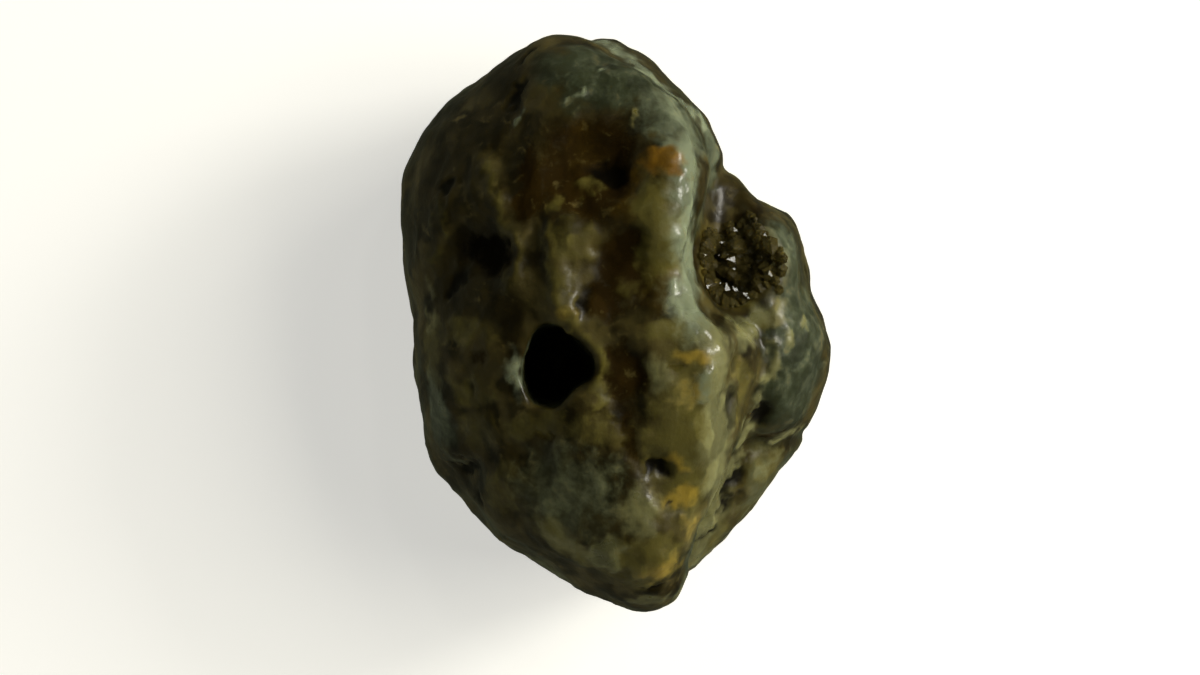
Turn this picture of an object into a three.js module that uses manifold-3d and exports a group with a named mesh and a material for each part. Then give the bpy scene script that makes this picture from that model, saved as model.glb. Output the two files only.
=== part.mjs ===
// A raw agate nodule, worn smooth by water and lying on its back. Millimetres, +Z up, +Y along its length.
// The stone is one solid: a main mass with a ridge down its right side, and a lobe, a flank and a shoulder
// that grew against it. Its face has a deep hole and shallow basins. A valley beside the ridge ends in a
// hollow, which is lined with a crust of small quartz crystals. The crust is a piece of its own.

import * as THREE from "three";
import { ImprovedNoise } from "three/addons/math/ImprovedNoise.js";
import { mergeVertices } from "three/addons/utils/BufferGeometryUtils.js";
import Module from "manifold-3d";

const wasm = await Module();
wasm.setup();

// The driving dimension: the finished stone's length along Y
const LENGTH = 60;

// Lumps that make the stone, each a ball drawn out to an outline seen from above. An outline has only the
// corners and bulges that the lump shows. level is the height of the widest ring at the middle, up and down
// are the bulges above and below it, square and squareUnder say how boxy they are (2 is an ellipse), and
// leanX and leanY tip the lump. detail is the number of splits along each edge of the ball.
const MAIN_MASS = {
  outline: [
    [-5.6, 29.2], [-1.8, 28.5], [2.9, 25.6], [7.6, 21.4], [10.1, 18.0], [10.5, 15.2], [9.4, 10.9], [8.9, 6.4],
    [10.6, 2.2], [14.6, -1.2], [15.2, -4.8], [13.8, -8.6], [12.5, -12.6], [10.4, -17.8], [8.5, -22.3],
    [7.5, -26.2], [6.3, -28.9], [3.5, -29.8], [-1.4, -28.4], [-6.3, -26.0], [-9.3, -24.1], [-12.2, -21.6],
    [-16.3, -17.0], [-18.9, -12.8], [-20.4, -6.8], [-20.6, -0.8], [-21.8, 6.0], [-22.1, 11.0], [-20.8, 16.7],
    [-18.3, 20.9], [-11.0, 27.3],
  ],
  middle: [-5, -1], level: 17.6, up: 14.6, down: 20, square: 2.5, squareUnder: 2.1,
  leanX: 0.26, leanY: 0.03, detail: 14,
};
const LOBE = {
  outline: [
    [12.0, 16.2], [15.6, 13.6], [18.8, 11.7], [20.0, 8.6], [20.9, 3.7], [22.2, 0.0], [22.8, -3.6],
    [22.2, -7.8], [19.9, -11.9], [15.6, -13.0], [9.0, -10.0], [5.5, 0.0], [5.5, 10.0],
  ],
  middle: [13, 1], level: 13.5, up: 11.5, down: 16, square: 2.3, squareUnder: 2.1,
  leanX: -0.1, leanY: 0.0, detail: 9,
};
const FLANK = {
  outline: [
    [20.4, -11.4], [17.7, -16.2], [14.4, -20.5], [10.5, -24.5], [8.1, -26.7], [1.5, -24.0], [1.0, -14.0],
    [10.0, -6.0],
  ],
  middle: [9.5, -15.5], level: 10.5, up: 8.5, down: 13, square: 2.3, squareUnder: 2.1,
  leanX: -0.05, leanY: -0.05, detail: 7,
};
const SHOULDER = {
  outline: [
    [-1.7, 29.3], [3.1, 27.9], [7.7, 23.8], [10.6, 19.7], [12.2, 16.9], [7.0, 12.0], [-3.0, 16.0],
    [-6.0, 24.0],
  ],
  middle: [3, 20], level: 14, up: 12, down: 15, square: 2.3, squareUnder: 2.1,
  leanX: 0.0, leanY: -0.1, detail: 6,
};
// The heart fills the gaps between the lumps low down, so their seams stay shallow
const HEART = {
  outline: [
    [-5.5, 27.6], [2.8, 26.2], [10.0, 18.0], [15.0, 12.4], [18.6, 6.6], [20.7, -3.6], [18.2, -11.4],
    [12.9, -19.6], [6.8, -25.8], [2.6, -27.6], [-6.0, -24.4], [-15.2, -16.3], [-19.2, -7.0], [-20.4, 6.0],
    [-19.4, 16.3], [-10.3, 25.6],
  ],
  middle: [0, 0], level: 10, up: 9, down: 14, square: 2.6, squareUnder: 2.3,
  leanX: 0.0, leanY: 0.0, detail: 8,
};

// Cutters: the deep hole in the face, the hollow between the ridge and the lobe, and the valley that leads
// from it to the stone's edge
const HOLE = {
  outline: [
    [-5.7, -0.1], [-3.3, -2.1], [-1.3, -5.0], [-3.7, -6.8], [-5.5, -8.6], [-7.7, -8.2], [-8.8, -6.0],
    [-8.6, -3.2], [-7.4, -0.9],
  ],
  middle: [-5.5, -4.5], level: 31, up: 8, down: 19, square: 2.2, squareUnder: 3.0,
  leanX: 0.0, leanY: 0.0, detail: 4,
};
const HOLLOW = {
  outline: [
    [9.4, 9.6], [11.8, 10.8], [14.8, 10.0], [17.4, 7.8], [18.0, 5.6], [15.2, 3.0], [12.6, 1.3], [10.4, 1.7],
    [9.4, 4.2], [9.1, 7.0],
  ],
  middle: [11.9, 5.4], level: 24.5, up: 9, down: 6.6, square: 2.4, squareUnder: 1.6,
  leanX: 0.1, leanY: 0.05, detail: 5,
};
const VALLEY = {
  outline: [
    [9.4, 9.0], [9.6, 13.0], [11.2, 19.0], [15.2, 19.4], [16.6, 14.4], [16.2, 10.2], [14.0, 6.6], [11.0, 6.0],
  ],
  middle: [12.6, 12.4], level: 23.5, up: 9, down: 5.4, square: 2.4, squareUnder: 1.9,
  leanX: 0.1, leanY: -0.14, detail: 4,
};

// Shallow basins worn into the face: middle, half width across X, half length along Y, and depth
const BASINS = [
  { name: "brown basin above the hole", x: 0.8, y: 4.4, across: 4.4, along: 5.2, depth: 1.0 },
  { name: "upper basin", x: -2.4, y: 15.2, across: 4.6, along: 5.0, depth: 0.9 },
  { name: "dark left basin", x: -13.6, y: 7.0, across: 4.4, along: 3.6, depth: 0.9 },
  { name: "basin right of the hole", x: 1.0, y: -6.2, across: 3.0, along: 4.4, depth: 0.7 },
  { name: "notch low on the left", x: -15.2, y: -15.4, across: 2.6, along: 1.8, depth: 1.0 },
  { name: "stained pit", x: 4.6, y: -14.6, across: 1.5, along: 1.7, depth: 0.9 },
];

// Lines along the face: ridges and pale webs stand proud, and a groove has a negative height
const LINES = [
  {
    name: "ridge", width: 2.4, height: 1.0,
    path: [[2.4, 24.4], [5.8, 18.6], [5.6, 12.0], [5.2, 6.0], [6.8, 1.0]],
  },
  {
    name: "worn side of the ridge", width: 1.9, height: -1.1,
    path: [[9.8, 17.4], [9.2, 12.0], [8.8, 6.0], [10.4, 1.6]],
  },
  {
    name: "lower ridge", width: 2.2, height: 0.7,
    path: [[9.6, -3.0], [9.6, -10.0], [8.4, -17.0], [6.6, -23.0]],
  },
  { name: "web over the hole", width: 1.6, height: 0.7, path: [[-5.6, 9.6], [-4.0, 6.0], [-5.0, 1.0]] },
  { name: "left web", width: 1.3, height: 0.6, path: [[-12.6, 15.0], [-9.4, 8.6], [-10.0, 3.0]] },
  { name: "trough", width: 1.5, height: -1.0, path: [[14.6, -2.6], [12.6, -6.0], [10.8, -10.0]] },
];

// Natural unevenness: lumps about a centimetre apart, with smaller ones on them
const UNEVENNESS = [
  { spacing: 8.5, height: 0.9 },
  { spacing: 3.4, height: 0.4 },
];
const UNEVENNESS_SHIFT = 3.7;

// Only what looks up this steeply or more, as the Z of its normal, belongs to the face
const FACE_STARTS = 0.15;
const FACE_IS_FULL = 0.6;

// The crust of crystals: its gap to the wall, its thickness, how far below the rim it ends, and its crystals
const CRUST_GAP = 0.35;
const CRUST_THICKNESS = 0.9;
const CRUST_RIM_DEPTH = 1.2;
const CRYSTAL_COUNT = 22;
const CRYSTAL_RADIUS = 0.85;
const CRYSTAL_HEIGHT = 2.0;
const CRYSTAL_ROOT = 0.4;
const CRYSTAL_LEAN = 0.5;
const CRYSTAL_SEED = 11;

const AGATE_FINISH = { color: 0x3a3720, roughness: 0.35, metalness: 0 };
const DRUSE_FINISH = { color: 0x5a4a28, roughness: 0.15, metalness: 0 };

const noise = new ImprovedNoise();

// Distance from the middle to a smooth closed outline, as a function of bearing
function reachAround(outline, middle) {
  const points = outline.map(([x, y]) => new THREE.Vector3(x - middle[0], y - middle[1], 0));
  const curve = new THREE.CatmullRomCurve3(points, true, "centripetal");
  const samples = curve.getPoints(outline.length * 24);
  const polar = samples.map((p) => [Math.atan2(p.y, p.x), Math.hypot(p.x, p.y)]);
  polar.sort((a, b) => a[0] - b[0]);
  const first = polar[0];
  const last = polar[polar.length - 1];
  const ring = [[last[0] - 2 * Math.PI, last[1]], ...polar, [first[0] + 2 * Math.PI, first[1]]];
  return (bearing) => {
    const next = Math.max(ring.findIndex(([angle]) => angle >= bearing), 1);
    const [before, after] = [ring[next - 1], ring[next]];
    const share = (bearing - before[0]) / Math.max(after[0] - before[0], 1e-9);
    return THREE.MathUtils.lerp(before[1], after[1], share);
  };
}

// A ball drawn out to its outline and bulges, made smaller all round by the inset
function lump(form, inset = 0) {
  const ball = new THREE.IcosahedronGeometry(1, form.detail);
  ball.deleteAttribute("normal");
  ball.deleteAttribute("uv");
  const shape = mergeVertices(ball, 1e-5);
  const position = shape.getAttribute("position");
  const reach = reachAround(form.outline, form.middle);
  const direction = new THREE.Vector3();
  for (let i = 0; i < position.count; i++) {
    direction.fromBufferAttribute(position, i);
    const above = direction.z > 0;
    const power = 2 / (above ? form.square : form.squareUnder);
    const bearing = Math.atan2(direction.y, direction.x);
    const outward = (reach(bearing) - inset) * Math.hypot(direction.x, direction.y) ** power;
    const bulge = above ? form.up - inset : inset - form.down;
    const dx = outward * Math.cos(bearing);
    const dy = outward * Math.sin(bearing);
    const height = form.level + form.leanX * dx + form.leanY * dy + bulge * Math.abs(direction.z) ** power;
    position.setXYZ(i, form.middle[0] + dx, form.middle[1] + dy, height);
  }
  shape.computeVertexNormals();
  return shape;
}

// Distance from a place on the face to a path over it
function distanceToPath(place, path) {
  const corners = path.map(([x, y]) => new THREE.Vector3(x, y, 0));
  const nearest = new THREE.Vector3();
  const distances = corners.slice(1).map((end, k) => {
    new THREE.Line3(corners[k], end).closestPointToPoint(place, true, nearest);
    return nearest.distanceTo(place);
  });
  return Math.min(...distances);
}

// How far the basins and lines raise the face at a place
function reliefAt(x, y) {
  let height = 0;
  for (const basin of BASINS) {
    const distance = Math.hypot((x - basin.x) / basin.across, (y - basin.y) / basin.along);
    height -= basin.depth * (1 - THREE.MathUtils.smoothstep(distance, 0.5, 1.1));
  }
  const place = new THREE.Vector3(x, y, 0);
  for (const line of LINES) {
    height += line.height * Math.exp(-((distanceToPath(place, line.path) / line.width) ** 2));
  }
  return height;
}

// Pushes a lump's surface in and out along its normals: relief on the face, and unevenness all over
function weather(shape) {
  const position = shape.getAttribute("position");
  const normals = shape.getAttribute("normal");
  const point = new THREE.Vector3();
  const normal = new THREE.Vector3();
  for (let i = 0; i < position.count; i++) {
    point.fromBufferAttribute(position, i);
    normal.fromBufferAttribute(normals, i);
    const facing = THREE.MathUtils.smoothstep(normal.z, FACE_STARTS, FACE_IS_FULL);
    let push = facing * reliefAt(point.x, point.y);
    for (const { spacing, height } of UNEVENNESS) {
      const at = point.clone().divideScalar(spacing);
      push += height * noise.noise(at.x, at.y, at.z + UNEVENNESS_SHIFT);
    }
    point.addScaledVector(normal, push);
    position.setXYZ(i, point.x, point.y, point.z);
  }
  return shape;
}

// A geometry as a solid that can be joined and cut, and back again
function solidOf(shape) {
  const bare = new THREE.BufferGeometry();
  bare.setAttribute("position", shape.getAttribute("position"));
  bare.setIndex(shape.index);
  const merged = mergeVertices(bare, 1e-4);
  const vertProperties = merged.getAttribute("position").array;
  const triVerts = new Uint32Array(merged.index.array);
  return new wasm.Manifold(new wasm.Mesh({ numProp: 3, vertProperties, triVerts }));
}

function geometryOf(solid) {
  const { vertProperties, triVerts } = solid.getMesh();
  const shape = new THREE.BufferGeometry();
  shape.setAttribute("position", new THREE.BufferAttribute(vertProperties, 3));
  shape.setIndex(new THREE.BufferAttribute(triVerts, 1));
  shape.computeVertexNormals();
  return shape;
}

// The biggest closed shell of a solid, without loose crumbs and without air trapped inside
function largest(solid) {
  return solid.decompose().reduce((best, piece) => (piece.volume() > best.volume() ? piece : best));
}

// The uncut nodule: the lumps grown together, with a flat worn under them
function nodule(inset = 0) {
  const lumps = [MAIN_MASS, LOBE, FLANK, SHOULDER, HEART].map((form) => solidOf(weather(lump(form, inset))));
  const grown = lumps.reduce((all, next) => all.add(next));
  const ground = new THREE.BoxGeometry(2 * LENGTH, 2 * LENGTH, LENGTH).translate(0, 0, -LENGTH / 2);
  return grown.subtract(solidOf(ground));
}

// One quartz crystal standing on its foot: a six-sided prism with a six-sided point
function crystal(radius, height) {
  const profile = [
    new THREE.Vector2(0, 0),
    new THREE.Vector2(radius, 0),
    new THREE.Vector2(0.92 * radius, 0.45 * height),
    new THREE.Vector2(0, height),
  ];
  return new THREE.LatheGeometry(profile, 6).rotateX(Math.PI / 2);
}

// A repeatable stream of numbers from 0 to 1
function randomStream(seed) {
  let state = seed;
  return () => {
    state = (state * 16807) % 2147483647;
    return state / 2147483647;
  };
}

// The crust that lines the hollow: a thin bed along the wall, ending below the rim, with crystals on it
function crust() {
  const lined = solidOf(lump(HOLLOW, CRUST_GAP)).intersect(nodule(CRUST_RIM_DEPTH));
  const pocket = lined.subtract(solidOf(lump(VALLEY, -CRUST_GAP)));
  const bed = lump(HOLLOW, CRUST_GAP + CRUST_THICKNESS);
  const position = bed.getAttribute("position");
  const normals = bed.getAttribute("normal");
  const low = [...Array(position.count).keys()].filter((i) => position.getZ(i) < HOLLOW.level - 1);
  const random = randomStream(CRYSTAL_SEED);
  const up = new THREE.Vector3(0, 0, 1);
  let grown = pocket.subtract(solidOf(bed));
  for (let made = 0; made < CRYSTAL_COUNT; made++) {
    const i = low[Math.floor(random() * low.length)];
    const foot = new THREE.Vector3().fromBufferAttribute(position, i);
    const inward = new THREE.Vector3().fromBufferAttribute(normals, i).negate();
    inward.x += CRYSTAL_LEAN * (random() - 0.5);
    inward.y += CRYSTAL_LEAN * (random() - 0.5);
    inward.normalize();
    const size = THREE.MathUtils.lerp(0.6, 1.4, random());
    const point = crystal(CRYSTAL_RADIUS * size, CRYSTAL_HEIGHT * size);
    point.rotateZ(random() * Math.PI);
    point.applyQuaternion(new THREE.Quaternion().setFromUnitVectors(up, inward));
    foot.addScaledVector(inward, -CRYSTAL_ROOT);
    point.translate(foot.x, foot.y, foot.z);
    grown = grown.add(solidOf(point).intersect(pocket));
  }
  return largest(grown);
}

const cutters = [HOLE, HOLLOW, VALLEY].map((form) => solidOf(lump(form)));
const stone = cutters.reduce((left, cutter) => left.subtract(cutter), nodule());
const agate = new THREE.Mesh(geometryOf(largest(stone)), new THREE.MeshStandardMaterial(AGATE_FINISH));
agate.name = "agate";
const druse = new THREE.Mesh(geometryOf(crust()), new THREE.MeshStandardMaterial(DRUSE_FINISH));
druse.name = "druse";

// The drawn stone is brought to its length, with the origin under the middle of its box
const box = new THREE.Box3().setFromObject(agate);
const scale = LENGTH / box.getSize(new THREE.Vector3()).y;
const middle = box.getCenter(new THREE.Vector3());
const laid = new THREE.Group();
laid.scale.setScalar(scale);
laid.position.set(-middle.x * scale, -middle.y * scale, 0);
laid.add(agate, druse);

const rawAgate = new THREE.Group();
rawAgate.add(laid);

export default rawAgate;
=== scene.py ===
# %% [markdown]
# # A raw agate nodule, dressed over its CAD solid
# The real object is one lump of chalcedony, about the size of a hen's egg, that water has rolled smooth.
# It could be sculpted by hand or scanned. Here every lump, pit and stain is placed by code on a fine copy of
# the CAD solid, so that each one has a name and a size that a reader can change.

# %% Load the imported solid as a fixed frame
import math
import random

import bpy
import numpy as np
from mathutils import Matrix, Quaternion, Vector, noise
from mathutils.bvhtree import BVHTree
from mathutils.kdtree import KDTree


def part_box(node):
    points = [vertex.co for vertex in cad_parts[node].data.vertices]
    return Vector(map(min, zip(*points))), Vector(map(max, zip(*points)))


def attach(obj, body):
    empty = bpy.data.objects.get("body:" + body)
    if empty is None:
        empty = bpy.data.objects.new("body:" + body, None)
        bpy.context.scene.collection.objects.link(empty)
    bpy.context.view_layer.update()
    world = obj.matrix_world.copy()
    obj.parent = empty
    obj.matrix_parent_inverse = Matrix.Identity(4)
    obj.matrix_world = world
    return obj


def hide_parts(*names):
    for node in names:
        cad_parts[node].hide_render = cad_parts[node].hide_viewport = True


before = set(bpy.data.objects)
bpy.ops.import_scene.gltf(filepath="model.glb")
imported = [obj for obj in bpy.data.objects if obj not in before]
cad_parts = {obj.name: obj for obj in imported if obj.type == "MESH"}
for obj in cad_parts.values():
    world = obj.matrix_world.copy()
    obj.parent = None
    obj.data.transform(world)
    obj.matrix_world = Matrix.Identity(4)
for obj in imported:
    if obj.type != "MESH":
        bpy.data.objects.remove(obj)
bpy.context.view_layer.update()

MM = 0.001

# %% [markdown]
# ## The camera
# The photograph looks straight down on the stone, with the stone's length upright in the picture. A camera
# with no rotation does just that in Blender. Its place over the floor is worked out in millimetres from how
# large the stone stands in the picture, and a long lens keeps the sides from spreading.

# %% Put the camera over the stone
PHOTO_SIZE = (1200, 675)
SENSOR_WIDTH = 36.0
CAMERA_SPOT = Vector((-1.74, -1.54, 315.0))
SCALE_LEVEL = 15.0
PIXELS_PER_MM = 9.45

focal_pixels = PIXELS_PER_MM * (CAMERA_SPOT.z - SCALE_LEVEL)
camera_data = bpy.data.cameras.new("Camera")
camera_data.sensor_width = SENSOR_WIDTH
camera_data.lens = SENSOR_WIDTH * focal_pixels / PHOTO_SIZE[0]
camera = bpy.data.objects.new("Camera", camera_data)
camera.location = CAMERA_SPOT * MM
bpy.context.scene.collection.objects.link(camera)
bpy.context.scene.camera = camera
print("camera lens, mm:", round(camera_data.lens, 1))

# %% [markdown]
# ## A fine skin for the stone
# The CAD solid has facets of about two millimetres. A subdivision surface would keep the pattern of those
# facets, so the copy is remeshed into even little squares instead, and then smoothed in pairs of steps, one
# in and one slightly more out. That wears the facets away without making the stone smaller.

# %% Copy and remesh the solid, in millimetres
SKIN_GRAIN = 0.35

stone_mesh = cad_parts["agate"].data.copy()
stone_mesh.transform(Matrix.Scale(1 / MM, 4))
stone = bpy.data.objects.new("agate_stone", stone_mesh)
bpy.context.scene.collection.objects.link(stone)
remesh = stone.modifiers.new("Even squares", "REMESH")
remesh.mode = "VOXEL"
remesh.voxel_size = SKIN_GRAIN
graph = bpy.context.evaluated_depsgraph_get()
skin = bpy.data.meshes.new_from_object(stone.evaluated_get(graph))
stone.modifiers.clear()
stone.data = skin
print("skin:", len(skin.vertices), "vertices,", len(skin.polygons), "squares")

# %% Wear the facets away
WEAR_ROUNDS = 30
WEAR_IN, WEAR_OUT = 0.5, -0.52


def read_all(items, key, width, kind=float):
    values = np.empty(len(items) * width, dtype=kind)
    items.foreach_get(key, values)
    return values.reshape(-1, width)


edges = read_all(skin.edges, "vertices", 2, int)
links = np.concatenate([edges, edges[:, ::-1]])
link_count = np.bincount(links[:, 0])[:, None]


# From each point to the middle of its neighbours
def to_neighbours(values):
    total = np.stack([np.bincount(links[:, 0], column[links[:, 1]]) for column in values.T], axis=1)
    return total / link_count - values


points = read_all(skin.vertices, "co", 3)
for _ in range(WEAR_ROUNDS):
    for step in (WEAR_IN, WEAR_OUT):
        points = points + step * to_neighbours(points)
print("worn box, mm:", np.round(np.ptp(points, axis=0), 1))

# %% [markdown]
# ## Round the rims and fill the seams
# Water wears a sharp rim faster than a flat. A bevel would need the edges picked by hand, so a second pass
# moves a point only where it stands well off the middle of its neighbours: at the rims of the holes and in
# the seams between the lumps, and not on the smooth faces. A seam starts to fill sooner than a rim wears.

# %% Round what is still sharp
ROUNDING_ROUNDS = 110
ROUNDING_STEP = 0.5
RIM_FROM, RIM_TO = 0.011, 0.04
CREASE_FROM, CREASE_TO = 0.0055, 0.016
ROUNDS_PER_LOOK = 10


# A soft step from 0 at the start to 1 at the end
def rise(values, start, end):
    share = np.clip((values - start) / (end - start), 0.0, 1.0)
    return share * share * (3 - 2 * share)


def reshape_skin(points):
    skin.vertices.foreach_set("co", points.ravel())
    skin.update()
    return read_all(skin.vertex_normals, "vector", 3)


for done in range(ROUNDING_ROUNDS):
    if done % ROUNDS_PER_LOOK == 0:
        normals = reshape_skin(points)
    offset = to_neighbours(points)
    distance = np.linalg.norm(offset, axis=1)
    in_a_crease = np.sum(offset * normals, axis=1) > 0
    move = np.where(in_a_crease, rise(distance, CREASE_FROM, CREASE_TO), rise(distance, RIM_FROM, RIM_TO))
    points = points + ROUNDING_STEP * move[:, None] * offset
points[:, 2] = np.maximum(points[:, 2], 0.0)
normals = reshape_skin(points)
print("rounded box, mm:", np.round(np.ptp(points, axis=0), 1))

# %% [markdown]
# ## Finding places on the stone
# Most marks are known by where they stand in the photograph. A ray from the camera through that pixel meets
# the skin at one spot, so a mark sits on the stone itself and stays there from any side. Every mark's size is
# in millimetres.

# %% A pixel's spot on the skin
RIDGE_PIXEL = (697, 140)

skin_tree = BVHTree.FromPolygons(points.tolist(), [list(p.vertices) for p in skin.polygons])


def spot_at(pixel):
    across = (pixel[0] - PHOTO_SIZE[0] / 2) / focal_pixels
    upward = (PHOTO_SIZE[1] / 2 - pixel[1]) / focal_pixels
    spot, normal, _, _ = skin_tree.ray_cast(CAMERA_SPOT, Vector((across, upward, -1)).normalized())
    assert spot is not None, f"no stone at pixel {pixel}"
    return np.array(spot), np.array(normal)


print("top of the ridge, mm:", np.round(spot_at(RIDGE_PIXEL)[0], 1))

# %% [markdown]
# ## Natural unevenness
# Lumps could be sculpted one by one, but chance made the real ones. Noise is a smooth random field: read at
# several spacings it gives the soft lumps of a rolled stone. It also pulls the outlines of the marks about,
# because no stain on a stone is a clean oval.

# %% Noise fields over the skin
# Each field has its spacing in millimetres and a shift that keeps it apart from the others
LUMPS, GRAIN, WEBS, STAINS, ZONES = (3.2, 0.0), (1.2, 17.3), (4.6, 41.9), (4.0, 63.1), (13.0, 88.7)
STREAKS, STREAK_STRETCH = (1.9, 17.3), np.array((1.0, 0.4, 1.0))
# Each pull has its spacing and reach in millimetres and the shift from one axis to the next
PULLS = ((2.6, 1.4, 7), (0.9, 0.7, 9))
PULL_SHIFT = 120.5


def field(places, spacing, shift):
    offset = Vector((shift, -shift, 0.5 * shift))
    return np.array([noise.noise(Vector(place) / spacing + offset) for place in places])


lumps, grain, stains, zones = [field(points, *kind) for kind in (LUMPS, GRAIN, STAINS, ZONES)]
webs = 1.0 - np.abs(field(points, *WEBS))
streaks = field(points * STREAK_STRETCH, *STREAKS)
loose_points = points.copy()
for spacing, reach, step in PULLS:
    shifts = [PULL_SHIFT + step * axis for axis in range(3)]
    loose_points += reach * np.stack([field(points, spacing, shift) for shift in shifts], axis=1)
print("lumps from", round(lumps.min(), 2), "to", round(lumps.max(), 2))

# %% [markdown]
# ## The marks of this stone
# A patch has a pixel, half sizes across and along in millimetres, a turn in degrees, a height in millimetres
# (negative for a pit) and the tints it brings. A line has the pixels along it, a half width, a height and
# its tints. The tints are amounts from 0 to about 1: green and grey chalcedony, brown basins, amber, tan and
# pale webs, ochre and rust stains, and dark. The dark marks spots, pits and dirt, and it paints shade in a
# crease, an undercut and wherever the skin curves in. The grey also paints a sheen on the rim of the hole.
# They could be painted by hand in Texture Paint, but a list can be read and changed. It only says where a
# tint goes: the material decides what it looks like.

# %% Patches on the upper half, from the top of the picture down
UPPER_PATCHES = [
    ("crown of grey chalcedony", (604, 74), (9.0, 4.8), -10, 0.10, {"green": 1.0, "grey": 0.2}),
    ("grey behind the ridge", (682, 118), (4.8, 5.6), 40, 0.00, {"green": 0.8, "grey": 0.5}),
    ("side of the shoulder", (712, 155), (2.4, 4.4), -10, 0.00, {"green": 0.9, "grey": 0.45}),
    ("speck on the crown", (596, 72), (0.8, 0.6), 0, 0.12, {"grey": 0.9}),
    ("speck left of it", (577, 89), (0.6, 0.5), 0, 0.10, {"grey": 0.8}),
    ("yellow speck", (636, 116), (0.9, 0.8), 0, 0.10, {"pale": 0.6, "ochre": 0.3}),
    ("groove at the top left", (517, 92), (0.8, 2.0), 5, -0.50, {"dark": 0.8}),
    ("notch in the top edge", (527, 56), (1.2, 0.8), 0, -0.40, {"dark": 0.7}),
    ("sliver below the groove", (518, 122), (0.7, 1.9), -8, 0.20, {"grey": 0.6}),
    ("brown heart of the face", (588, 172), (7.0, 7.2), 0, -0.30, {"brown": 1.0}),
    ("golden part of the heart", (588, 148), (3.0, 3.4), 0, 0.00, {"amber": 0.32}),
    ("dark spot", (605, 174), (1.9, 1.7), 0, -0.60, {"dark": 1.0}),
    ("tan spot", (587, 187), (1.3, 1.3), 0, 0.10, {"tan": 0.55}),
    ("tan oval", (556, 206), (1.1, 1.7), 10, 0.15, {"tan": 0.55}),
    ("brown left of the oval", (528, 190), (1.6, 5.0), 5, 0.00, {"brown": 0.9}),
    ("amber beside the heart", (643, 190), (3.0, 4.6), 0, 0.00, {"amber": 0.8}),
    ("tan beside the ridge", (660, 225), (3.0, 7.0), 0, 0.00, {"tan": 1.0}),
    ("rust spot", (663, 157), (2.2, 1.8), -15, -0.10, {"rust": 0.78}),
    ("rust below it", (674, 168), (1.1, 0.9), 0, 0.00, {"rust": 0.7}),
    ("slot on the left", (450, 187), (1.6, 1.1), 0, -0.50, {"dark": 1.1}),
    ("dark left basin", (490, 254), (3.6, 2.9), 0, -0.50, {"dark": 0.9, "brown": 0.7}),
    ("pocket below it", (452, 284), (1.7, 1.7), 0, -0.50, {"dark": 1.1}),
    ("plateau over the hole", (568, 242), (3.8, 2.2), 5, 0.40, {"tan": 0.62}),
    ("olive below the plateau", (560, 290), (3.0, 3.8), 0, 0.10, {"tan": 0.5}),
    ("gold over the hole", (563, 312), (2.0, 1.2), 0, 0.00, {"amber": 0.7, "ochre": 0.2}),
    ("brown basin", (628, 265), (4.0, 4.6), 10, -0.40, {"brown": 1.0}),
    ("lower end of the brown basin", (600, 300), (2.4, 2.0), 0, -0.20, {"brown": 0.9}),
    ("tan oval in the basin", (632, 284), (1.3, 1.8), 0, 0.10, {"tan": 0.5}),
    ("amber edge of the basin", (660, 275), (1.6, 4.0), 0, 0.00, {"amber": 0.8}),
    ("slot in the basin's left wall", (583, 300), (0.8, 1.7), 0, -0.50, {"dark": 0.7}),
    ("shelf left of the hole", (468, 330), (4.6, 1.6), 5, 0.25, {"tan": 0.58}),
    ("floor of the hollow", (735, 268), (2.6, 2.8), 0, 2.40, {}),
    ("tip of the lobe", (785, 245), (3.6, 4.6), 0, 0.10, {"green": 1.0, "grey": 0.36}),
    ("tan of the bridge", (775, 318), (2.6, 1.6), 20, 0.00, {"tan": 0.8}),
    ("brown top of the bridge", (775, 304), (2.2, 1.0), 30, 0.10, {"brown": 0.6}),
]
print(len(UPPER_PATCHES), "patches on the upper half")

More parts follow.
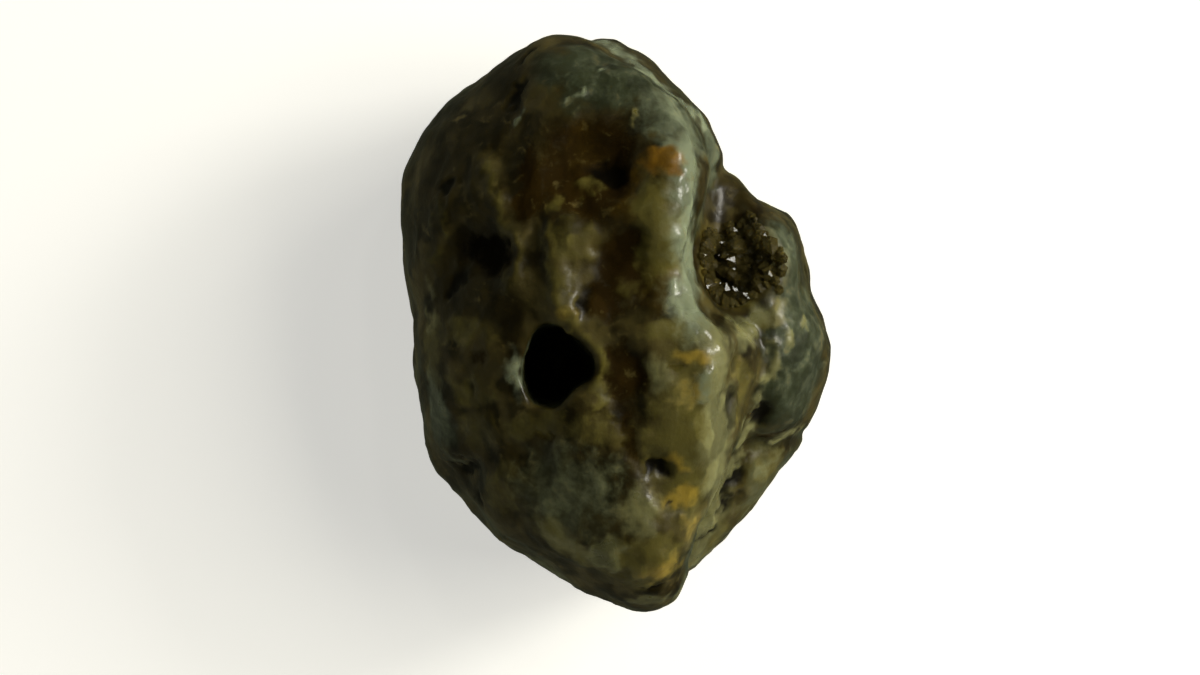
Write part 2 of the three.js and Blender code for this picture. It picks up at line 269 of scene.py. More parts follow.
# %% Patches on the lower half
LOWER_PATCHES = [
    ("tan of the right side", (690, 440), (5.2, 13.0), 4, 0.00, {"tan": 0.8}),
    ("bevel of the hole", (523, 372), (1.9, 3.4), 0, -2.40, {}),
    # Painted reflection: the grey crescent stands in for the light's sheen on the bevelled left rim of the
    # hole
    ("painted sheen at the hole", (514, 372), (1.0, 3.0), 0, 0.00, {"grey": 0.5}),
    ("brown right of the hole", (620, 375), (3.2, 4.0), 0, -0.30, {"brown": 0.9}),
    ("tan over the stain", (670, 330), (3.2, 1.8), 0, 0.10, {"tan": 0.9}),
    ("grey patch beside the stain", (655, 375), (1.6, 2.2), 0, 0.15, {"pale": 0.7}),
    ("yellow stain", (690, 357), (1.9, 1.2), 0, 0.10, {"ochre": 0.8}),
    ("yellow stain below it", (686, 392), (1.6, 1.6), 0, 0.10, {"ochre": 0.5, "pale": 0.6}),
    ("brown corner of the stain", (675, 371), (1.0, 0.9), 0, -0.20, {"brown": 0.95}),
    ("pale lump beside the stain", (703, 385), (1.5, 2.0), -20, 0.30, {"grey": 0.9}),
    ("bridge", (745, 330), (4.2, 2.2), 20, 0.00, {"pale": 0.9}),
    ("bump on the bridge", (750, 330), (1.2, 1.4), 0, 0.60, {"pale": 1.0}),
    ("grey lobe", (806, 345), (6.5, 12.5), 8, 0.00, {"green": 1.1, "grey": 0.25}),
    ("pale fleck on the lobe", (792, 337), (0.7, 1.6), 0, 0.25, {"pale": 0.8}),
    ("second fleck on the lobe", (808, 322), (0.7, 1.4), 0, 0.25, {"pale": 0.75}),
    ("trough", (746, 384), (1.9, 3.8), 25, -0.90, {"tan": 0.9, "ochre": 0.15}),
    ("dark side of the trough", (726, 402), (0.8, 3.0), 35, -0.50, {"dark": 0.6}),
    ("foot of the trough", (742, 424), (1.2, 1.8), 25, 0.45, {"pale": 0.9}),
    # Painted shade: the dark tint fills the undercut between the trough and the lobe
    ("notch under the lobe", (760, 415), (1.0, 1.8), -8, -0.80, {"dark": 1.1}),
    ("brown under the notch", (768, 435), (2.0, 0.9), 0, 0.00, {"brown": 0.8}),
    ("brown beside the seam", (752, 462), (0.9, 2.8), 20, 0.00, {"brown": 0.5}),
    ("green of the flank", (762, 488), (3.6, 6.4), 35, 0.00, {"grey": 0.3, "tan": 0.85}),
    ("tan of the flank", (716, 540), (2.4, 4.4), 40, 0.00, {"tan": 0.9}),
    ("reddish patch below the hole", (548, 437), (2.2, 1.1), 0, -0.15, {"brown": 0.8}),
    ("brown patch on the left", (478, 358), (1.8, 1.4), 0, -0.20, {"brown": 0.6}),
    ("pinkish patch on the left", (472, 388), (3.4, 2.0), -20, 0.15, {"tan": 0.62}),
    ("green at the left edge", (438, 410), (2.6, 6.0), 5, 0.00, {"green": 1.0, "grey": 0.42}),
    ("drab patch below the hole", (535, 425), (4.4, 2.4), 10, 0.15, {"tan": 0.6}),
    ("drab patch left of the hole", (478, 425), (3.0, 2.4), -15, 0.15, {"tan": 0.55}),
    ("worn left edge", (434, 352), (2.4, 4.5), 0, 0.00, {"tan": 0.75}),
    ("drab patch at the lower left", (505, 490), (3.6, 3.2), -20, 0.10, {"tan": 0.55}),
    ("drab lower edge", (565, 543), (4.8, 2.6), -35, 0.10, {"tan": 1.0, "pale": 0.4}),
    ("notch low on the left", (465, 465), (2.6, 1.1), 0, -0.60, {"dark": 1.0}),
    ("smaller notch below it", (480, 500), (1.1, 0.8), 20, -0.40, {"dark": 0.9}),
    ("olive below the hole", (598, 430), (3.8, 2.2), 0, 0.10, {"tan": 0.5}),
    ("brown strip", (632, 440), (1.2, 3.2), 5, -0.30, {"brown": 0.8}),
    ("grey lumps", (568, 492), (7.0, 6.0), 0, 0.25, {"green": 0.7, "grey": 0.34, "tan": 0.4}),
    ("pale patch in the middle", (640, 515), (2.4, 3.6), 0, 0.20, {"pale": 0.6}),
    ("pinkish patch near the tip", (603, 550), (2.8, 1.9), 30, 0.25, {"pale": 1.05}),
    ("tan round the pit", (672, 440), (3.0, 2.4), 0, 0.10, {"tan": 1.0}),
    ("stained pit", (658, 467), (1.1, 1.4), -20, -0.60, {"dark": 0.95}),
    ("ochre right of the pit", (681, 464), (1.4, 1.2), 0, 0.10, {"ochre": 0.8}),
    ("ochre below the pit", (682, 494), (2.4, 1.5), 0, 0.10, {"ochre": 0.8}),
    ("small pit in the ochre", (671, 500), (0.6, 0.5), 0, -0.30, {"dark": 0.7}),
    ("yellow edge", (690, 525), (2.4, 2.0), 20, 0.10, {"ochre": 0.55, "pale": 0.5}),
    ("tan of the tip", (645, 568), (5.4, 4.2), 20, 0.00, {"tan": 1.1}),
    ("ochre of the tip", (665, 570), (3.0, 2.2), 20, 0.10, {"ochre": 0.7}),
    ("brown of the tip", (622, 572), (1.8, 1.2), 0, -0.20, {"brown": 0.6}),
    ("first pit of the tip", (628, 578), (0.7, 0.4), -20, -0.35, {"dark": 1.0}),
    ("second pit of the tip", (645, 588), (0.9, 0.4), 10, -0.35, {"dark": 1.0}),
    ("third pit of the tip", (661, 588), (0.9, 0.4), 15, -0.30, {"dark": 0.9}),
    ("pale end of the tip", (650, 600), (3.4, 0.9), 5, 0.00, {"pale": 0.6}),
]
print(len(LOWER_PATCHES), "patches on the lower half")

# %% Lines: ridges, webs and creases
LINES = [
    (
        "crest of the shoulder",
        [(600, 42), (629, 57), (657, 82), (680, 101), (704, 124)],
        1.2,
        0.15,
        {"grey": 1.0},
    ),
    (
        "ridge",
        [(687, 150), (688, 185), (686, 220), (684, 255), (688, 290), (697, 318)],
        2.4,
        0.60,
        {"grey": 1.1},
    ),
    (
        "right band of the face",
        [(716, 335), (722, 370), (716, 410), (722, 450), (716, 490), (702, 525), (690, 560)],
        2.6,
        0.00,
        {"pale": 0.95},
    ),
    ("left web", [(483, 165), (500, 205), (516, 240), (512, 285)], 1.0, 0.50, {"tan": 0.5}),
    ("branch of the left web", [(503, 238), (522, 242), (540, 240)], 0.8, 0.30, {"tan": 0.45}),
    ("web on the far left", [(436, 200), (440, 235), (434, 265)], 0.6, 0.25, {"tan": 0.6}),
    ("web at the left edge", [(428, 285), (431, 310), (437, 330)], 0.7, 0.30, {"pale": 0.6}),
    ("web down to the hole", [(545, 250), (560, 285), (566, 320)], 1.1, 0.50, {"tan": 0.7}),
    ("web right of the hole", [(572, 318), (594, 342), (606, 372), (592, 404)], 0.9, 0.30, {"tan": 0.8}),
    ("web right of the trough", [(774, 345), (768, 375), (757, 405)], 0.8, 0.55, {"pale": 1.0}),
    ("rim under the lobe", [(777, 437), (789, 434), (799, 429)], 0.6, 0.35, {"pale": 1.0}),
    # Partly painted highlight: the pale tint is pale chalcedony, brightened where the light catches this edge
    ("right edge of the face", [(745, 428), (735, 457), (722, 490), (705, 530)], 0.9, 0.55, {"pale": 1.1}),
    # Painted shadow: the dark tint lies in the crease where the right edge of the face shades the flank
    ("crease beside the flank", [(750, 443), (736, 478), (722, 506), (697, 547)], 0.6, -0.80, {"dark": 0.85}),
    ("sliver beside the tip", [(692, 550), (689, 563), (685, 578)], 0.5, 0.30, {"pale": 0.9}),
]
print(len(LINES), "lines")

# %% [markdown]
# ## From marks to heights and tints
# Each mark is measured from every point of the skin, along the skin and also in depth, so that a mark on the
# face doesn't show through on the back. The pulled points are measured instead of the true ones, which makes
# the outlines ragged. Where two marks bring the same tint, the stronger one holds.

# %% How far a mark covers each point
PATCH_CORE, PATCH_RIM = 0.3, 1.25
PATCH_DEPTH = 1.5
LINE_STEPS = 6


def patch_cover(pixel, half_sizes, turn):
    spot, up = spot_at(pixel)
    angle = math.radians(turn)
    along = np.array((-math.sin(angle), math.cos(angle), 0.0))
    along = along - up * (along @ up)
    along = along / np.linalg.norm(along)
    axes = (np.cross(along, up), along, up)
    reaches = (*half_sizes, PATCH_DEPTH * max(half_sizes))
    away = loose_points - spot
    share = np.sqrt(sum((away @ axis / reach) ** 2 for axis, reach in zip(axes, reaches)))
    return 1.0 - rise(share, PATCH_CORE, PATCH_RIM)


def line_cover(pixels, width):
    pixels = np.array(pixels, dtype=float)
    steps = np.linspace(0, len(pixels) - 1, LINE_STEPS * (len(pixels) - 1) + 1)
    route = np.stack([np.interp(steps, range(len(pixels)), pixels[:, axis]) for axis in (0, 1)], axis=1)
    nearest = np.full(len(loose_points), np.inf)
    for pixel in route:
        nearest = np.minimum(nearest, np.linalg.norm(loose_points - spot_at(pixel)[0], axis=1))
    return np.exp(-((nearest / width) ** 2))


marks = []
for _, pixel, half_sizes, turn, lift, brings in UPPER_PATCHES + LOWER_PATCHES:
    marks.append((patch_cover(pixel, half_sizes, turn), lift, brings))
for _, pixels, width, lift, brings in LINES:
    marks.append((line_cover(pixels, width), lift, brings))
print(len(marks), "marks measured")

# %% Lay the marks
TINTS = ("green", "brown", "amber", "tan", "grey", "pale", "ochre", "rust", "dark")
RELIEF_SHARE = 0.75
FACE_FROM, FACE_TO = 0.1, 0.5

height = np.zeros(len(points))
tint = {name: np.zeros(len(points)) for name in TINTS}


def lay(name, amount):
    tint[name] = np.maximum(tint[name], amount)


for cover, lift, brings in marks:
    height += RELIEF_SHARE * lift * cover
    for name, amount in brings.items():
        lay(name, amount * cover)
# A mark loses its height where the skin turns down the side, out of the camera's sight
height *= rise(normals[:, 2], FACE_FROM, FACE_TO)
print("marks reach from", round(height.min(), 2), "to", round(height.max(), 2), "mm")

# %% [markdown]
# ## Lumps, webs and stains all over
# Rolling leaves soft lumps. Weathering leaves webs that stand a little proud and stains that lie a little
# low. The photograph shows the face alone, so the sides and the back get the same kinds of webs, stains and
# tints from the noise, at the spacing that they have on the face.

# %% Spread lumps, webs and stains
LUMP_HEIGHT, GRAIN_HEIGHT, STREAK_HEIGHT = 0.13, 0.04, 0.07
WEB_HEIGHT, STAIN_DEPTH, KNOB_HEIGHT = 0.08, 0.1, 0.12
WEB_FROM, WEB_TO = 0.88, 0.98
WEB_ZONE_FROM, WEB_ZONE_TO = -0.25, 0.2
STAIN_FROM, STAIN_TO = 0.12, 0.42
STAIN_TINT = 0.2
BACK_FROM, BACK_TO = -0.45, -0.1
GREEN_LEAST, GREEN_MORE, GREEN_ZONE = 0.35, 0.65, (-0.35, 0.15)
GREY_ZONE, BLEACHED = (-0.1, 0.4), (0.0, 0.5)

web_cover = rise(webs, WEB_FROM, WEB_TO) * rise(zones, WEB_ZONE_FROM, WEB_ZONE_TO)
stain_cover = rise(stains, STAIN_FROM, STAIN_TO)
height += LUMP_HEIGHT * lumps + GRAIN_HEIGHT * grain + STREAK_HEIGHT * streaks
height += WEB_HEIGHT * web_cover - STAIN_DEPTH * stain_cover
unseen = rise(-normals[:, 2], BACK_FROM, BACK_TO)
lay("brown", STAIN_TINT * (1.0 + unseen) * stain_cover)
for name, amount, where in (
    ("tan", 0.45, web_cover),
    ("tan", 0.5, rise(-stains, *BLEACHED)),
    ("green", 1.0, GREEN_LEAST + GREEN_MORE * rise(zones, *GREEN_ZONE)),
    ("grey", 0.28, rise(zones, *GREY_ZONE)),
):
    lay(name, amount * unseen * where)
knobs = np.clip(tint["grey"] + tint["pale"], 0.0, 1.0) * grain
height += KNOB_HEIGHT * knobs
print("unseen share of the skin:", round(float(unseen.mean()), 2))

# %% [markdown]
# ## Small pits
# Soft grains weather out and leave pits of about a millimetre, each tinted darker towards its middle.
# Cutting each one out of the solid would be slow. Here each is a soft dent, and a KD-tree quickly lists the
# points that lie near it.

# %% Dent the small pits
PIT_COUNT = 160
PIT_SIZES = (0.2, 0.5)
PIT_REACH = 1.6
PIT_DEPTH = 0.4
PIT_DARKENING = 0.5

draw = random.Random(5)
loose_tree = KDTree(len(points))
for index, place in enumerate(loose_points):
    loose_tree.insert(place, index)
loose_tree.balance()
for _ in range(PIT_COUNT):
    middle = points[draw.randrange(len(points))]
    size = draw.uniform(*PIT_SIZES)
    for _, index, distance in loose_tree.find_range(middle, PIT_REACH * size):
        pit = math.exp(-((distance / size) ** 2))
        height[index] -= PIT_DEPTH * size * pit
        tint["dark"][index] = max(tint["dark"][index], PIT_DARKENING * pit)
print(PIT_COUNT, "small pits")

# %% [markdown]
# ## The bed of the crystals
# The wall under the crystals is golden brown, and the wall round them is tinted dark brown. The CAD crust is
# replaced by real crystals further on, but its mesh says where the bed is: the nearer a point lies to it, the
# more it belongs to the bed.

# %% Tint the bed and what lies round it
BED_REACH = 1.6
SPILL_PATCH = ((738, 250), (3.2, 5.6), -25)

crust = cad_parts["druse"].data.vertices
crust_tree = KDTree(len(crust))
for index, corner in enumerate(crust):
    crust_tree.insert(corner.co / MM, index)
crust_tree.balance()
bed = np.array([math.exp(-((crust_tree.find(place)[2] / BED_REACH) ** 2)) for place in points])
spill = patch_cover(*SPILL_PATCH)
for name, amount, where in (
    ("brown", 0.9, np.maximum(bed, spill)),
    ("dark", 0.5, spill * (1.0 - bed)),
    ("amber", 0.6, bed),
    ("tan", 0.7, bed),
):
    lay(name, amount * where)
print("bed of the crystals: mean", round(float(bed.mean()), 3))

# %% [markdown]
# ## Push the skin out
# So far every height is only a number for each point. A Displace modifier could use such numbers, and moving
# each point along its normal by code does the same in one line. The flat that the stone rests on stays flat.

# %% Move each point by its height
RESTING_ZONE = 1.0

lying = rise(points[:, 2], 0.0, RESTING_ZONE)
points = points + normals * (height * lying)[:, None]
points[:, 2] = np.maximum(points[:, 2], 0.0)
normals = reshape_skin(points)
print("relief from", round(height.min(), 2), "to", round(height.max(), 2), "mm")

# %% [markdown]
# ## Painted shade below, polish above
# Where the skin curves in, the dark tint is laid as painted shade, and rolling rubs pale what curves out.
# How far a point lies above or below its neighbours says which it is. Spread over a few rings, that becomes
# two more tints.

# %% Measure where the skin curves in and out
SPREAD_ROUNDS = 9
SPREAD_STEP = 0.5
CURVE_SCALE = 0.0136
PAINTED_SHADE, PAINTED_SHADE_FROM, PAINTED_SHADE_TO = 0.55, 0.3, 1.6
RUBBED, RUBBED_FROM, RUBBED_TO = 0.2, 0.5, 1.8

curve = -np.sum(to_neighbours(points) * normals, axis=1, keepdims=True) / CURVE_SCALE
for _ in range(SPREAD_ROUNDS):
    curve = curve + SPREAD_STEP * to_neighbours(curve)
curve = curve[:, 0]
# Painted shade: the dark tint is laid where the skin curves in
lay("dark", PAINTED_SHADE * rise(-curve, PAINTED_SHADE_FROM, PAINTED_SHADE_TO))
lay("tan", RUBBED * rise(curve, RUBBED_FROM, RUBBED_TO))
print("curve from", round(curve.min(), 2), "to", round(curve.max(), 2))

# %% [markdown]
# ## Store the tints on the mesh
# A mesh attribute is a number kept for each vertex. The material reads it with an Attribute node, so the
# stains stay on the stone from every side and need no picture.

# %% Write attributes and bring the skin back to metres
for name in TINTS:
    layer = skin.attributes.new(name, "FLOAT", "POINT")
    layer.data.foreach_set("value", tint[name].astype(np.float32))
skin.shade_smooth()
skin.transform(Matrix.Scale(MM, 4))
skin.update()
print({name: round(float(tint[name].mean()), 3) for name in TINTS})

# %% [markdown]
# ## Helpers for materials
# Colours are picked as sRGB hex values, as in a drawing program, but a shader reckons in linear light. A
# material is a tree of nodes. They could be placed by hand in the Shader Editor: here one function adds a
# node, sets its values and links it, and returns the output that the next node needs. What is the same all
# over a surface is set on the shader itself.

# %% Colours, nodes and materials
def linear(code):
    channels = [int(code[i : i + 2], 16) / 255 for i in (1, 3, 5)]
    return [c / 12.92 if c <= 0.04045 else ((c + 0.055) / 1.055) ** 2.4 for c in channels] + [1.0]


def add(tree, kind, settings=None, links=None, gives=None):
    node = tree.nodes.new(kind)
    plain = {name: value for name, value in (settings or {}).items() if hasattr(node, name)}
    for name, value in plain.items():
        setattr(node, name, value)
    sockets = {socket.name: socket for socket in reversed(node.inputs) if socket.enabled}
    sockets.update({socket.identifier: socket for socket in node.inputs if socket.enabled})
    for name, value in (settings or {}).items():
        if name not in plain:
            sockets[name].default_value = value
    for name, source in (links or {}).items():
        tree.links.new(source, sockets[name])
    outputs = [socket for socket in node.outputs if socket.enabled]
    return next((socket for socket in outputs if gives in (None, socket.name)), None)


def new_material(name, values):
    material = bpy.data.materials.new(name)
    material.use_nodes = True
    shader = material.node_tree.nodes["Principled BSDF"]
    for socket, value in values.items():
        shader.inputs[socket].default_value = value
    return material, material.node_tree, shader


print("middle grey in linear light:", round(linear("#808080")[0], 3))

# %% [markdown]
# ## Chalcedony
# Chalcedony is quartz in fibres too fine to see. Rolled in water it gets a waxy, half-glossy skin: light goes
# a little way in, and what is reflected is soft. Its patterns are noise at a few real sizes. A wide noise
# bends the others first, and some are drawn out along the stone, as its bands grew.

# %% The chalcedony's patterns
CHALCEDONY_IOR = 1.54
LIGHT_DEPTH = 0.8
MOTTLE_SIZE, BLOTCH_SIZE, STREAK_SIZE, GRIT_SIZE = 4.2, 1.4, 2.2, 0.5
DRIFT_SIZE, WARP = 4.0, 1.6
DRAWN_OUT = (1.0, 0.5, 1.0)

chalcedony, tree, shader = new_material(
    "Waxy chalcedony",
    {
        "IOR": CHALCEDONY_IOR,
        "Subsurface Weight": 0.2,
        "Subsurface Radius": (1.0, 0.8, 0.45),
        "Subsurface Scale": LIGHT_DEPTH * MM,
    },
)
place = add(tree, "ShaderNodeTexCoord", gives="Object")
drift = add(
    tree,
    "ShaderNodeTexNoise",
    {"Scale": 1 / (DRIFT_SIZE * MM), "Detail": 3.0},
    {"Vector": place},
    gives="Color",
)
# The drift runs from 0 to 1, so twice the warp bends a place by about the warp to either side
bent = add(
    tree,
    "ShaderNodeVectorMath",
    {"operation": "MULTIPLY_ADD", "Vector_001": (2 * WARP * MM,) * 3},
    {"Vector": drift, "Vector_002": place},
)
drawn_out = add(
    tree,
    "ShaderNodeVectorMath",
    {"operation": "MULTIPLY", "Vector_001": DRAWN_OUT},
    {"Vector": bent},
)
mottle, blotch, streak, grit = [
    add(
        tree,
        "ShaderNodeTexNoise",
        {"noise_dimensions": "4D", "Scale": 1 / (size * MM), "Detail": 2.0, "W": number},
        {"Vector": where},
    )
    for number, (size, where) in enumerate(
        ((MOTTLE_SIZE, bent), (BLOTCH_SIZE, bent), (STREAK_SIZE, drawn_out), (GRIT_SIZE, place))
    )
]
print("chalcedony: mottles of", MOTTLE_SIZE, "mm and grit of", GRIT_SIZE, "mm")

# %% [markdown]
# ## The stone's colours
# Iron colours the stone: olive and brown in the body, ochre and rust where it has weathered. Three browns
# make the body. Each stored tint is then laid over it, and the blotches and the grit break its edge. Last, a
# patchwork of soft cells makes some spots a little lighter and some a little darker.

# %% The body
BODY_DARK, BODY, BODY_LIGHT = "#1b1605", "#2f280f", "#49411f"
SMOOTH = {"interpolation_type": "SMOOTHSTEP"}

streaked = add(
    tree,
    "ShaderNodeMapRange",
    {**SMOOTH, "From Min": 0.38, "From Max": 0.58},
    {"Value": streak},
)
mottled = add(
    tree,
    "ShaderNodeMapRange",
    {**SMOOTH, "From Min": 0.46, "From Max": 0.62, "To Max": 0.9},
    {"Value": mottle},
)
body = add(
    tree,
    "ShaderNodeMix",
    {"data_type": "RGBA", "A": linear(BODY_DARK), "B": linear(BODY)},
    {"Factor": streaked},
)
colour = add(
    tree,
    "ShaderNodeMix",
    {"data_type": "RGBA", "B": linear(BODY_LIGHT)},
    {"Factor": mottled, "A": body},
)
print("body of", BODY_DARK, BODY, "and", BODY_LIGHT)

# %% The tints over the body
COLOURS = {
    "green": "#2d3220",
    "brown": "#261b05",
    "amber": "#45350b",
    "tan": "#575124",
    # The grey is grey chalcedony, and at the rim of the hole it is a painted sheen
    "grey": "#747c63",
    "pale": "#706f48",
    "ochre": "#8a762b",
    "rust": "#7b5a16",
    # The dark is dark spots, pits and dirt, and painted shade in a crease, an undercut and where the skin
    # curves in
    "dark": "#0c0902",
}
EDGE_BREAK, FINE_BREAK = 0.8, 0.3
COVER_FROM, COVER_TO = 0.06, 0.88

half_break = (EDGE_BREAK + FINE_BREAK) / 2
laid = {}
for name, code in COLOURS.items():
    amount = add(tree, "ShaderNodeAttribute", {"attribute_name": name}, gives="Fac")
    for pattern, share in ((blotch, EDGE_BREAK), (grit, FINE_BREAK)):
        amount = add(
            tree,
            "ShaderNodeMath",
            {"operation": "MULTIPLY_ADD", "Value_001": share},
            {"Value": pattern, "Value_002": amount},
        )
    laid[name] = add(
        tree,
        "ShaderNodeMapRange",
        {**SMOOTH, "From Min": half_break + COVER_FROM, "From Max": half_break + COVER_TO},
        {"Value": amount},
    )
    colour = add(
        tree,
        "ShaderNodeMix",
        {"data_type": "RGBA", "B": linear(code)},
        {"Factor": laid[name], "A": colour},
    )
print(len(laid), "tints laid over the body")

# %% The patchwork over all
PATCHWORK_SIZE = 1.9

cells = add(
    tree,
    "ShaderNodeTexVoronoi",
    {"feature": "SMOOTH_F1", "Scale": 1 / (PATCHWORK_SIZE * MM), "Smoothness": 0.5},
    {"Vector": drawn_out},
    gives="Color",
)
patchwork = add(
    tree,
    "ShaderNodeMapRange",
    {**SMOOTH, "From Min": 0.1, "From Max": 0.9, "To Min": 0.75, "To Max": 1.3},
    {"Value": add(tree, "ShaderNodeSeparateColor", links={"Color": cells}, gives="Red")},
)
colour = add(
    tree,
    "ShaderNodeMix",
    {"data_type": "RGBA", "blend_type": "MULTIPLY", "Factor": 1.0},
    {"A": colour, "B": patchwork},
)
tree.links.new(colour, shader.inputs["Base Color"])
print("patchwork of", PATCHWORK_SIZE, "mm")

# %% [markdown]
# ## The stone's gloss
# The bare chalcedony shines softly. Brown stains and dirt are grainy, so they are rougher and reflect less,
# and the dark tint is as rough where it is painted shade. The grey and pale parts, which stand proud, are
# rubbed smoother. A bump gives the fine grain, which would take millions of triangles as a mesh. The real
# grain is too fine to show, so it is drawn at half a millimetre.

# %% Gloss, reflection and fine grain
SMOOTHEST, ROUGHEST = 0.32, 0.4
DULLER = {"brown": 0.16, "dark": 0.2, "pale": -0.07, "grey": -0.09}
REFLECTION, REFLECTION_OF_BROWN = 0.5, 0.06
GRAIN_DEPTH = 0.08

gloss = add(
    tree,
    "ShaderNodeMapRange",
    {**SMOOTH, "From Min": 0.35, "From Max": 0.65, "To Min": SMOOTHEST, "To Max": ROUGHEST},
    {"Value": mottle},
)
for name, duller in DULLER.items():
    gloss = add(
        tree,
        "ShaderNodeMath",
        {"operation": "MULTIPLY_ADD", "Value_001": duller},
        {"Value": laid[name], "Value_002": gloss},
    )
reflection = add(
    tree,
    "ShaderNodeMapRange",
    {**SMOOTH, "To Min": REFLECTION, "To Max": REFLECTION_OF_BROWN},
    {"Value": laid["brown"]},
)
bump = add(
    tree,
    "ShaderNodeBump",
    {"Strength": 0.5, "Distance": GRAIN_DEPTH * MM},
    {"Height": grit},
)
tree.links.new(gloss, shader.inputs["Roughness"])
tree.links.new(reflection, shader.inputs["Specular IOR Level"])
tree.links.new(bump, shader.inputs["Normal"])
print("roughness from", SMOOTHEST, "to", ROUGHEST, "before the tints")

# %% Dress the stone
skin.materials.clear()
skin.materials.append(chalcedony)
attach(stone, "root")
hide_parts("agate")
print("stone dressed with", chalcedony.name)

# %% [markdown]
# ## The crust of crystals
# Where a hollow stayed open, quartz grew into it as a druse: a crowd of small six-sided points. They could be
# one bumpy surface, but flat faces are what makes them glitter, so each crystal is a mesh of its own: a prism
# that tapers a little, with a point. They stand on the bed, and a few stand round it.

# %% One crystal
CRYSTAL_ROOT = 0.35
SIDES = 6
SHAFT, POINT = 0.45, 0.55
SHAFT_TAPER = 0.94


def crystal(foot, axis, size, slender, spin, tip_shift):
    turn = axis.to_track_quat("Z", "Y").to_matrix()
    radius = slender * size
    corners = []
    for level, reach in ((-CRYSTAL_ROOT, radius), (SHAFT * size, SHAFT_TAPER * radius)):
        for side in range(SIDES):
            angle = spin + side * math.tau / SIDES
            corners.append(Vector((reach * math.cos(angle), reach * math.sin(angle), level)))
    corners.append(Vector((tip_shift[0] * radius, tip_shift[1] * radius, size)))
    return [foot + turn @ corner for corner in corners]


def crystal_faces(first):
    low = [first + side for side in range(SIDES)]
    high = [first + SIDES + side for side in range(SIDES)]
    tip = first + 2 * SIDES
    faces = [low[::-1]]
    for side in range(SIDES):
        after = (side + 1) % SIDES
        faces.append([low[side], low[after], high[after], high[side]])
        faces.append([high[side], high[after], tip])
    return faces


print("a crystal has", len(crystal_faces(0)), "faces")

# %% [markdown]
# ## Crystals that flash
# Crystals that grew side by side often share a direction, so several flash at once. A face flashes when it
# looks half-way between the light and the eye. Some crystals are therefore turned so that one face of the
# point looks that way for one small light, the spark. From another side, other faces flash.

# %% Turn a crystal so that it flashes
SPARK = (60, 62)
SPARK_DISTANCE = 1000.0


# The direction of a bearing, counted from X, and an elevation, in degrees
def way_to(bearing, elevation):
    turn, climb = math.radians(bearing), math.radians(elevation)
    return Vector((math.cos(turn) * math.cos(climb), math.sin(turn) * math.cos(climb), math.sin(climb)))


druse_low, druse_high = [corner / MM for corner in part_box("druse")]
heart = (druse_low + druse_high) / 2
to_spark = (way_to(*SPARK) * SPARK_DISTANCE - heart).normalized()
half_way = (to_spark + (CAMERA_SPOT - heart).normalized()).normalized()


def flashing(slender, bearing):
    lean = math.atan(POINT / (SHAFT_TAPER * math.cos(math.pi / SIDES) * slender))
    around = Quaternion(half_way, bearing) @ half_way.orthogonal().normalized()
    axis = half_way * math.cos(lean) + around * math.sin(lean)
    seen = axis.to_track_quat("Z", "Y").to_matrix().transposed() @ half_way
    return axis, math.atan2(seen.y, seen.x) - math.pi / SIDES


print("flashing faces look along", [round(part, 2) for part in half_way])

# %% Grow the crystals on the wall of the hollow
CRYSTAL_TRIES = 2400
CRYSTAL_HEIGHTS, CRYSTAL_SLENDER = (0.6, 1.7), (0.45, 0.75)
EDGE_SIZE, MIDDLE_GAIN = 0.45, 0.55
CRYSTAL_LEAN, TIP_SHIFT = 0.6, 0.25
CRYSTAL_SPACING = 0.5
SPILL_SHARE, WALL_BREAK, WALL_FROM = 0.8, 0.4, 0.6
RIM_ROOM = 0.3
FLASH_EVERY, FLASH_SIZE = 4, 0.8
FLASH_BED, FLASH_UPRIGHT = 0.3, 0.2

below_rim = points[:, 2] < druse_high.z + RIM_ROOM
standing = np.maximum(bed * below_rim, SPILL_SHARE * spill) + WALL_BREAK * grain
wall = np.flatnonzero(standing > WALL_FROM)
draw = random.Random(21)
corners, faces, feet = [], [], []
for index in draw.sample(wall.tolist(), min(CRYSTAL_TRIES, len(wall))):
    foot, normal = Vector(points[index]), Vector(normals[index])
    size = draw.uniform(*CRYSTAL_HEIGHTS) * (EDGE_SIZE + MIDDLE_GAIN * bed[index])
    slender = draw.uniform(*CRYSTAL_SLENDER)
    axis = (normal + Vector([draw.uniform(-CRYSTAL_LEAN, CRYSTAL_LEAN) for _ in range(3)])).normalized()
    spin = draw.uniform(0, math.tau)
    tip_shift = [draw.uniform(-TIP_SHIFT, TIP_SHIFT) for _ in range(2)]
    if any((foot - other).length < CRYSTAL_SPACING * size for other in feet):
        continue
    if len(feet) % FLASH_EVERY == 0 and bed[index] > FLASH_BED:
        flash_axis, flash_spin = flashing(slender, draw.uniform(0, math.tau))
        if flash_axis.dot(normal) > FLASH_UPRIGHT:
            axis, spin, tip_shift = flash_axis, flash_spin, (0.0, 0.0)
            size *= FLASH_SIZE
    feet.append(foot)
    faces += crystal_faces(len(corners))
    corners += crystal(foot, axis, size, slender, spin, tip_shift)
print("druse:", len(feet), "crystals")

# %% Make the crust's mesh
druse_mesh = bpy.data.meshes.new("druse_crystals")
druse_mesh.from_pydata([corner * MM for corner in corners], [], faces)
druse_mesh.validate()
druse = bpy.data.objects.new("druse_crystals", druse_mesh)
bpy.context.scene.collection.objects.link(druse)
print("druse:", len(druse_mesh.polygons), "faces")

# %% [markdown]
# ## Smoky quartz
# The crystals are clear quartz tinted golden brown. Glass that is only tinted would look like bottle shards,
# so a little of the shader stays solid, as crystals with fine flaws do. Transmission with quartz's IOR lets
# the brown wall show through. The faces grew, and were not polished, so they are smooth but not mirrors.

# %% Dress the crystals
QUARTZ_IOR = 1.544
QUARTZ_LIGHT, QUARTZ_DEEP = "#b8a964", "#6f6128"
GROWTH_SIZE = 1.2

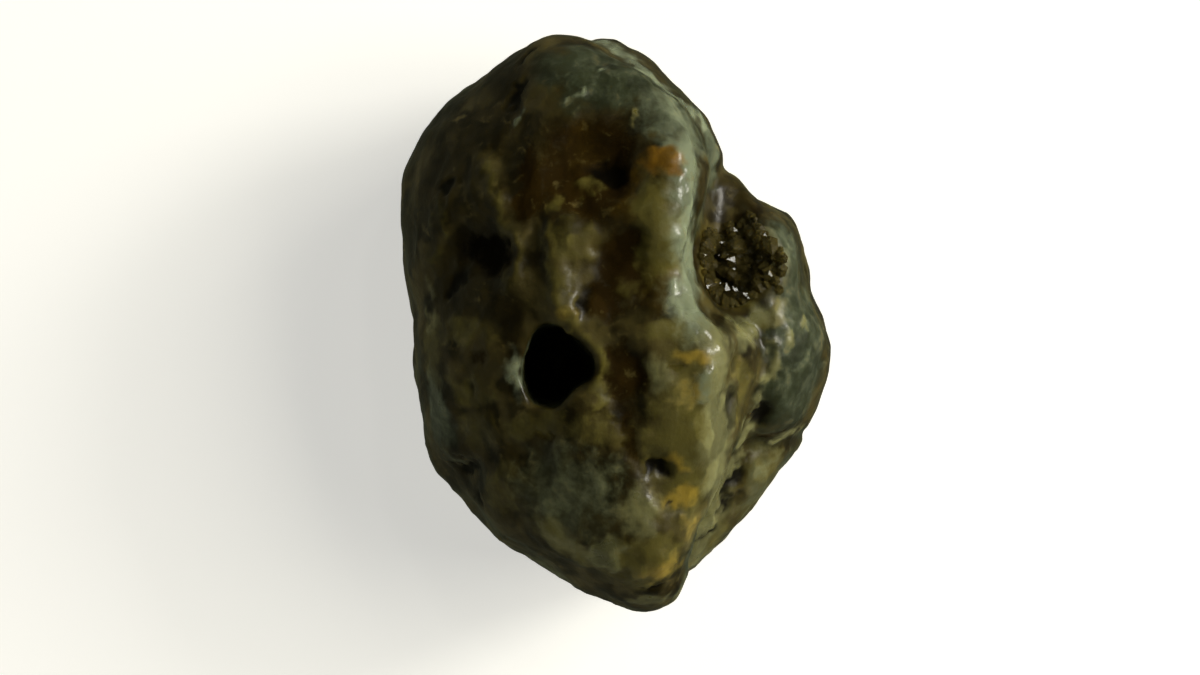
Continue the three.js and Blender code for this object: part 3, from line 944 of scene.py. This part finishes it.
quartz, tree, shader = new_material(
    "Smoky quartz",
    {"IOR": QUARTZ_IOR, "Roughness": 0.12, "Transmission Weight": 0.88},
)
growth = add(
    tree,
    "ShaderNodeTexNoise",
    {"Scale": 1 / (GROWTH_SIZE * MM), "Detail": 2.0},
    {"Vector": add(tree, "ShaderNodeTexCoord", gives="Object")},
)
smoke = add(
    tree,
    "ShaderNodeMix",
    {"data_type": "RGBA", "A": linear(QUARTZ_LIGHT), "B": linear(QUARTZ_DEEP)},
    {"Factor": growth},
)
tree.links.new(smoke, shader.inputs["Base Color"])
druse_mesh.materials.append(quartz)
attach(druse, "root")
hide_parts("druse")
print("druse dressed with", quartz.name)

# %% [markdown]
# ## The floor
# The stone lies on a sheet of white acrylic that is lit from below, as on a light table, so the shadow stays
# soft and pale. A waxy skin would mirror so bright a floor along its whole edge, so gloss doesn't see it.

# %% Lay the floor
FLOOR_SIZE = 4.0

half = FLOOR_SIZE / 2
floor_corners = [(-half, -half, 0), (half, -half, 0), (half, half, 0), (-half, half, 0)]
floor_mesh = bpy.data.meshes.new("floor")
floor_mesh.from_pydata(floor_corners, [], [(0, 1, 2, 3)])
floor = bpy.data.objects.new("floor", floor_mesh)
bpy.context.scene.collection.objects.link(floor)
acrylic, _, _ = new_material(
    "White acrylic",
    {
        "Base Color": linear("#e6e6e4"),
        "Roughness": 0.8,
        "Emission Color": linear("#fbfaf6"),
        "Emission Strength": 0.56,
    },
)
floor_mesh.materials.append(acrylic)
floor.visible_glossy = False
print("floor:", FLOOR_SIZE, "m square")

# %% [markdown]
# ## The lights
# A large soft window light from the right leaves the left of the stone dark, and a weak fill light from the
# other side opens the shadow. In a studio, polarising filters would keep the glare of both off a dark stone,
# so gloss doesn't see these two. A lamp from the right makes the soft glints on the ridge and the shoulder,
# and the small spark makes the crystals flash.

# %% Hang the lights
LIGHT_AIM = Vector((0.0, 0.0, 0.015))
# Name, bearing, elevation, distance in metres, width in metres, height, watts, colour, and if gloss sees it
LIGHTS = (
    ("Window", 16, 37, 0.8, 0.7, 0.6, 6.0, "#fffaea", False),
    ("Fill", 235, 64, 1.0, 1.2, 1.2, 1.1, "#f6f7e8", False),
    ("Spark", *SPARK, SPARK_DISTANCE * MM, 0.07, 0.07, 0.2, "#fffdf6", True),
    ("Lamp", 20, 29, 0.8, 0.18, 0.18, 2.4, "#fffbf0", True),
)

for name, bearing, elevation, distance, width, tall, watts, code, in_gloss in LIGHTS:
    panel = bpy.data.lights.new(name, "AREA")
    panel.shape = "RECTANGLE"
    panel.size, panel.size_y = width, tall
    panel.energy = watts
    panel.color = linear(code)[:3]
    light = bpy.data.objects.new(name, panel)
    way = way_to(bearing, elevation)
    light.location = LIGHT_AIM + way * distance
    light.rotation_euler = way.to_track_quat("Z", "Y").to_euler()
    light.visible_glossy = in_gloss
    bpy.context.scene.collection.objects.link(light)
print(len(LIGHTS), "lights hung")

# %% [markdown]
# ## The room
# The room is dim overhead and a little brighter round the sides, so the skin that faces the camera mirrors
# nothing bright. The plain view transform shows the colours as they were picked.

# %% Light the room
ROOM_TINT = "#e6ecc4"
SIDES_GLOW, OVERHEAD_GLOW = 0.09, 0.015
OVERHEAD_FROM = 0.6

world = bpy.data.worlds.new("Studio")
bpy.context.scene.world = world
world.use_nodes = True
tree = world.node_tree
room = add(tree, "ShaderNodeTexCoord", gives="Generated")
way_up = add(tree, "ShaderNodeSeparateXYZ", links={"Vector": room}, gives="Z")
glow = add(
    tree,
    "ShaderNodeMapRange",
    {**SMOOTH, "From Max": OVERHEAD_FROM, "To Min": SIDES_GLOW, "To Max": OVERHEAD_GLOW},
    {"Value": way_up},
)
background = tree.nodes["Background"]
tree.links.new(glow, background.inputs["Strength"])
background.inputs["Color"].default_value = linear(ROOM_TINT)
bpy.context.scene.view_settings.view_transform = "Standard"
print("room glows from", SIDES_GLOW, "at the sides to", OVERHEAD_GLOW, "overhead")
